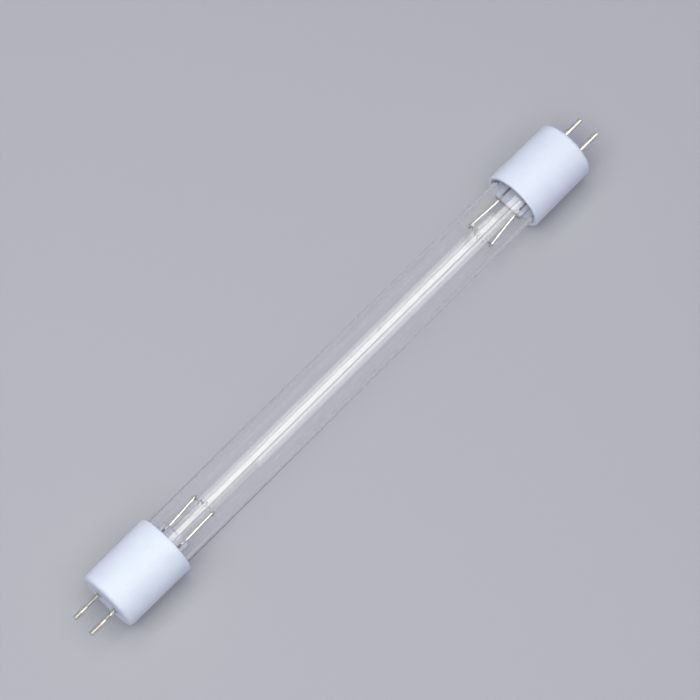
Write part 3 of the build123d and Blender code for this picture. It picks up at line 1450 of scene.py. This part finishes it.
@dataclass
class Studio:
    """A plain pale floor that passes without an edge into an even surround, and soft boxes.

    The key and side boxes light the lamp from above. The streak boxes hang on the camera's side, with
    a gap below the upper one, and their mirror images are the bright streak along the tube, with its
    thin dark line.
    """

    axis: LampAxis
    floor_colour: str = "#B7B9B6"
    surround: str = "#B5B6BE"
    quiet: str = "#B2B0FF"
    fill: float = 0.38
    floor_size: float = 6000.0
    lit_reach: float = 130.0
    even_from: float = 420.0
    tooth: Grain = Grain(0.8, detail=3.0)
    tooth_depth: float = 0.02
    boxes: tuple[SoftBox, ...] = (
        SoftBox("key_box", BoxUse.LIGHT, tilt=4, width=600, length=900, radiance=2.86, shift=-160),
        SoftBox("side_box", BoxUse.LIGHT, tilt=-32, width=250, length=900, radiance=1.3, shift=-160),
        SoftBox("streak_upper", BoxUse.MIRROR, tilt=-13, width=290, length=480, radiance=3.7, shift=165),
        SoftBox("streak_middle", BoxUse.MIRROR, tilt=-35.3, width=165, length=340, radiance=5, shift=235),
        SoftBox("streak_lower", BoxUse.MIRROR, tilt=-51.5, width=215, length=340, radiance=2.4, shift=235),
    )

    def seen(self, tree: NodeTree) -> NodeSocket:
        """Tell rays that show the background, straight or in metal and glass, from rays that light.

        Args:
            tree: node tree that asks.

        Returns:
            1 for a ray of the camera, a mirror image or a view through glass, and 0 for the rest.
        """
        ray = add_node(tree, "ShaderNodeLightPath").outputs
        mirrored = add_node(
            tree,
            "ShaderNodeMath",
            {0: ray["Is Glossy Ray"], 1: ray["Is Transmission Ray"]},
            operation="MAXIMUM",
        )
        seen = add_node(
            tree, "ShaderNodeMath", {0: ray["Is Camera Ray"], 1: mirrored.outputs[0]}, operation="MAXIMUM"
        )
        return seen.outputs[0]

    def floor(self) -> None:
        """Lay the floor that the lamp rests on, which looks like the surround where it is far away."""
        bm = bmesh.new()
        bmesh.ops.create_grid(bm, x_segments=1, y_segments=1, size=self.floor_size * MM / 2)
        mesh = bpy.data.meshes.new("floor")
        bm.to_mesh(mesh)
        bm.free()
        floor = bpy.data.objects.new("floor", mesh)
        bpy.context.scene.collection.objects.link(floor)
        material, tree, place = start_material("pale studio paper")
        tooth = self.tooth.pattern(tree, place)
        bump = add_node(tree, "ShaderNodeBump", {"Height": tooth, "Distance": self.tooth_depth * MM})
        paper = add_node(
            tree,
            "ShaderNodeBsdfPrincipled",
            {
                "Base Color": linear(self.floor_colour),
                "Roughness": 0.9,
                "Specular IOR Level": 0.1,
                "Normal": bump.outputs["Normal"],
            },
        )
        reach = add_node(tree, "ShaderNodeVectorMath", {0: place}, operation="LENGTH")
        far = add_node(
            tree,
            "ShaderNodeMapRange",
            {
                "Value": reach.outputs["Value"],
                "From Min": self.lit_reach * MM,
                "From Max": self.even_from * MM,
            },
        )
        even = add_node(
            tree, "ShaderNodeMath", {0: far.outputs["Result"], 1: self.seen(tree)}, operation="MULTIPLY"
        )
        plain = add_node(tree, "ShaderNodeEmission", {"Color": linear(self.surround)})
        mix = add_node(
            tree, "ShaderNodeMixShader", {0: even.outputs[0], 1: paper.outputs[0], 2: plain.outputs[0]}
        )
        mesh.materials.append(finish_material(material, mix.outputs[0]))

    def world(self) -> None:
        """Fill the surround: pale where it is seen or mirrored, and a quieter fill on everything else."""
        world = bpy.data.worlds.new("surround")
        bpy.context.scene.world = world
        world.use_nodes = True
        tree = world.node_tree
        tree.nodes.clear()
        quiet = add_node(tree, "ShaderNodeBackground", {"Color": linear(self.quiet), "Strength": self.fill})
        plain = add_node(tree, "ShaderNodeBackground", {"Color": linear(self.surround), "Strength": 1.0})
        mix = add_node(
            tree, "ShaderNodeMixShader", {0: self.seen(tree), 1: quiet.outputs[0], 2: plain.outputs[0]}
        )
        add_node(tree, "ShaderNodeOutputWorld", {"Surface": mix.outputs[0]})

    def light(self) -> None:
        """Set up the floor, the surround and the soft boxes, and the plain view of them."""
        self.floor()
        self.world()
        for box in self.boxes:
            box.hang(self.axis)
        bpy.context.scene.view_settings.view_transform = "Standard"


@dataclass
class PhotoCamera:
    """The photograph's viewpoint, worked out from both caps: high over end a, looking down."""

    axis: LampAxis
    azimuth: float = -46.2
    elevation: float = 71.0
    distance: float = 619.1
    lens: float = 149.9
    sensor: float = 36.0
    right_of_lamp: float = 1.47
    above_lamp: float = 4.08

    def place(self) -> None:
        """Create the scene's camera."""
        azimuth = math.radians(self.azimuth)
        elevation = math.radians(self.elevation)
        level = math.cos(elevation)
        back = Vector((math.sin(azimuth) * level, -math.cos(azimuth) * level, math.sin(elevation)))
        right = Vector((math.cos(azimuth), math.sin(azimuth), 0.0))
        up = back.cross(right)
        aside = right * self.right_of_lamp + up * self.above_lamp
        eye = self.axis.at() + (back * self.distance + aside) * MM
        data = bpy.data.cameras.new("photo_camera")
        data.lens = self.lens
        data.sensor_width = self.sensor
        data.clip_start = 0.01
        camera = bpy.data.objects.new("photo_camera", data)
        bpy.context.scene.collection.objects.link(camera)
        camera.matrix_world = Matrix.Translation(eye) @ Matrix((right, up, back)).transposed().to_4x4()
        bpy.context.scene.camera = camera


# Where each pin is squeezed: start beyond the cap's face, and length
CRIMPS = {
    (End.A, Hand.FIRST): (1.5, 2.1),
    (End.A, Hand.SECOND): (1.4, 1.4),
    (End.B, Hand.FIRST): (0.3, 1.0),
    (End.B, Hand.SECOND): (0.2, 1.5),
}


def dress_cad_node(name: str, material: Material) -> None:
    """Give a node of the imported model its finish.

    Args:
        name: name of the node.
        material: finish for all its slots.
    """
    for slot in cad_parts[name].material_slots:
        slot.material = material


def main() -> None:
    """Build the studio and every piece of the lamp, in order."""
    logging.basicConfig(level=logging.INFO, format="%(name)s %(message)s")
    axis = LampAxis.read()
    PhotoCamera(axis).place()
    Studio(axis).light()
    tube_glass, stem_glass, ceramic = TUBE_GLASS.make(), STEM_GLASS.make(), CERAMIC.make()
    plate, nickel, seal = PIN_PLATE.make(), LEAD_WIRE.make(), SEAL_WIRE.make()
    tungsten, coat, cement = TUNGSTEN.make(), EMITTER.make(), CEMENT.make()
    GlassEnvelope(axis).dress(tube_glass)
    for end in End:
        CeramicCap(axis, end).dress(ceramic)
        CementRing(axis, end).dress(cement)
        StemMount(axis, end).dress(stem_glass)
        CoatedCoil(axis, end).dress(coat, tungsten)
        for hand in Hand:
            start, length = CRIMPS[end, hand]
            ContactPin(axis, end, hand, start, length).dress(plate)
            SupportLead(axis, end, hand).dress(nickel)
            dress_cad_node(f"outer_lead_{end.letter}{hand.number}", seal)
    MercuryBeads().dress(MERCURY.make())
    DustFlecks(axis).dress(LINT.make())


if __name__ == "__main__":
    main()
